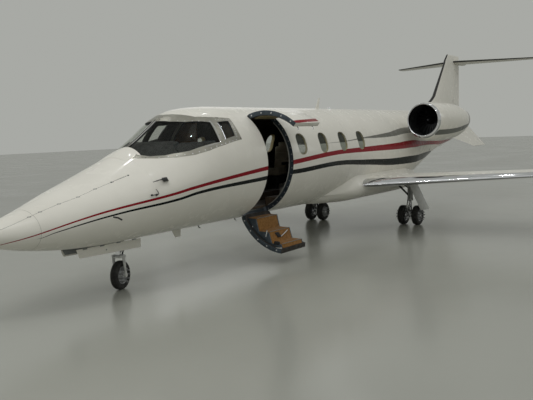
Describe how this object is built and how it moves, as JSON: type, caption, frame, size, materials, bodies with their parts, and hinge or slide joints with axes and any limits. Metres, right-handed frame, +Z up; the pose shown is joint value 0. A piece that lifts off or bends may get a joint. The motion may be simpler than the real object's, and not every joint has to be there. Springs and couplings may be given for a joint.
{
  "type": "twin engine business jet",
  "caption": "Parked business jet with T-tail, winglets, rear engines and an open two-piece airstair door; wheels, steering, fans, doors and control surfaces move.",
  "frame": {"origin": "on the ground plane under the middle of the overall length, on the centre line", "axes": "+X aft, +Y to starboard, +Z up"},
  "size_m": [17.878, 13.3502, 4.44],
  "materials": {
    "paint_white": "gloss",
    "radome_white": "gloss",
    "bare_metal": "satin",
    "polished_metal": "polished",
    "hot_metal": "satin",
    "clear_glass": "polished",
    "tyre_rubber": "matte",
    "carpet": "matte",
    "leather": "satin",
    "dark_panel": "matte",
    "cabin_trim": "satin"
  },
  "bodies": {
    "airframe": {"nose_cone": "radome_white", "nose_section": "paint_white", "flight_deck_shell": "paint_white", "entry_section": "paint_white", "cabin_section": "paint_white", "aft_fuselage": "paint_white", "tail_cone": "paint_white", "belly_fairing": "paint_white", "fin": "paint_white", "stabiliser": "paint_white", "nose_leg": "bare_metal", "cabin_floor": "carpet", "instrument_panel": "dark_panel", "flight_deck_divider": "cabin_trim", "galley_cabinet": "cabin_trim", "windscreen_left": "clear_glass", "side_window_left": "clear_glass", "delta_fin_left": "paint_white", "nose_gear_door_left": "paint_white", "wing_left": "paint_white", "nacelle_left": "paint_white", "engine_left": "hot_metal", "pylon_left": "paint_white", "main_leg_left": "bare_metal", "main_gear_door_left": "paint_white", "pilot_seat_left": "leather", "cabin_seat_left": "leather", "windscreen_right": "clear_glass", "side_window_right": "clear_glass", "delta_fin_right": "paint_white", "nose_gear_door_right": "paint_white", "wing_right": "paint_white", "nacelle_right": "paint_white", "engine_right": "hot_metal", "pylon_right": "paint_white", "main_leg_right": "bare_metal", "main_gear_door_right": "paint_white", "pilot_seat_right": "leather", "cabin_seat_right": "leather"},
    "nose_fork": {"nose_fork": "bare_metal"},
    "nose_wheel": {"nose_wheel": "tyre_rubber"},
    "door_upper": {"door_upper": "paint_white"},
    "door_lower": {"door_lower": "paint_white", "door_steps": "carpet"},
    "rudder": {"rudder": "paint_white"},
    "main_wheels_left": {"main_wheel_inner_left": "tyre_rubber", "main_wheel_outer_left": "tyre_rubber"},
    "fan_left": {"fan_left": "bare_metal"},
    "elevator_left": {"elevator_left": "paint_white"},
    "aileron_left": {"aileron_left": "paint_white"},
    "flap_left": {"flap_left": "paint_white"},
    "spoiler_left": {"spoiler_left": "paint_white"},
    "main_wheels_right": {"main_wheel_inner_right": "tyre_rubber", "main_wheel_outer_right": "tyre_rubber"},
    "fan_right": {"fan_right": "bare_metal"},
    "elevator_right": {"elevator_right": "paint_white"},
    "aileron_right": {"aileron_right": "paint_white"},
    "flap_right": {"flap_right": "paint_white"},
    "spoiler_right": {"spoiler_right": "paint_white"}
  },
  "joints": [
    {"name": "nose_steering", "type": "hinge", "parent": "airframe", "child": "nose_fork", "pos_m": [-6.77, 0, 0.56], "axis": [0, 0, 1], "range_deg": [-72, 38]},
    {"name": "nose_wheel_spin", "type": "hinge", "parent": "nose_fork", "child": "nose_wheel", "pos_m": [-6.74131, 0.00877, 0.214], "axis": [-0.2924, 0.9563, 0], "continuous": true},
    {"name": "main_wheels_left_spin", "type": "hinge", "parent": "airframe", "child": "main_wheels_left", "pos_m": [0.98, -1.255, 0.222], "axis": [0, 1, 0], "continuous": true},
    {"name": "fan_left_spin", "type": "hinge", "parent": "airframe", "child": "fan_left", "pos_m": [1.84, -1.45, 2.39], "axis": [1, 0, 0], "continuous": true},
    {"name": "main_wheels_right_spin", "type": "hinge", "parent": "airframe", "child": "main_wheels_right", "pos_m": [0.98, 1.255, 0.222], "axis": [0, 1, 0], "continuous": true},
    {"name": "fan_right_spin", "type": "hinge", "parent": "airframe", "child": "fan_right", "pos_m": [1.84, 1.45, 2.39], "axis": [1, 0, 0], "continuous": true},
    {"name": "door_upper_hinge", "type": "hinge", "parent": "airframe", "child": "door_upper", "pos_m": [-4.25, -0.55706, 2.53056], "axis": [1, 0, 0], "range_deg": [0, 56]},
    {"name": "door_lower_hinge", "type": "hinge", "parent": "airframe", "child": "door_lower", "pos_m": [-4.25, -0.34692, 0.79405], "axis": [-1, 0, 0], "range_deg": [0, 88]},
    {"name": "rudder_hinge", "type": "hinge", "parent": "airframe", "child": "rudder", "pos_m": [7.18869, 0, 3.02], "axis": [0.3026, 0, 0.9531], "range_deg": [-30, 30]},
    {"name": "elevator_left_hinge", "type": "hinge", "parent": "airframe", "child": "elevator_left", "pos_m": [8.19445, -0.19, 4.235], "axis": [-0.2614, 0.9652, 0], "range_deg": [-15, 15]},
    {"name": "aileron_left_hinge", "type": "hinge", "parent": "airframe", "child": "aileron_left", "pos_m": [1.43143, -4.23, 1.21059], "axis": [-0.095, 0.9946, -0.0417], "range_deg": [-20, 20]},
    {"name": "flap_left_hinge", "type": "hinge", "parent": "airframe", "child": "flap_left", "pos_m": [1.15973, -1.13, 1.08174], "axis": [-0.0926, 0.9948, -0.0413], "range_deg": [0, 40]},
    {"name": "spoiler_left_hinge", "type": "hinge", "parent": "airframe", "child": "spoiler_left", "pos_m": [0.82274, -2.35, 1.2214], "axis": [0.1446, -0.9891, 0.0273], "range_deg": [0, 50]},
    {"name": "elevator_right_hinge", "type": "hinge", "parent": "airframe", "child": "elevator_right", "pos_m": [8.19445, 0.19, 4.235], "axis": [0.2614, 0.9652, 0], "range_deg": [-15, 15]},
    {"name": "aileron_right_hinge", "type": "hinge", "parent": "airframe", "child": "aileron_right", "pos_m": [1.43143, 4.23, 1.21059], "axis": [0.095, 0.9946, 0.0417], "range_deg": [-20, 20]},
    {"name": "flap_right_hinge", "type": "hinge", "parent": "airframe", "child": "flap_right", "pos_m": [1.15973, 1.13, 1.08174], "axis": [0.0926, 0.9948, 0.0413], "range_deg": [0, 40]},
    {"name": "spoiler_right_hinge", "type": "hinge", "parent": "airframe", "child": "spoiler_right", "pos_m": [0.82274, 2.35, 1.2214], "axis": [-0.1446, -0.9891, -0.0273], "range_deg": [0, 50]}
  ],
  "couplings": [
    {"joint": "elevator_right_hinge", "follows": "elevator_left_hinge", "ratio": 1},
    {"joint": "aileron_right_hinge", "follows": "aileron_left_hinge", "ratio": -1},
    {"joint": "flap_right_hinge", "follows": "flap_left_hinge", "ratio": 1},
    {"joint": "spoiler_right_hinge", "follows": "spoiler_left_hinge", "ratio": 1}
  ]
}
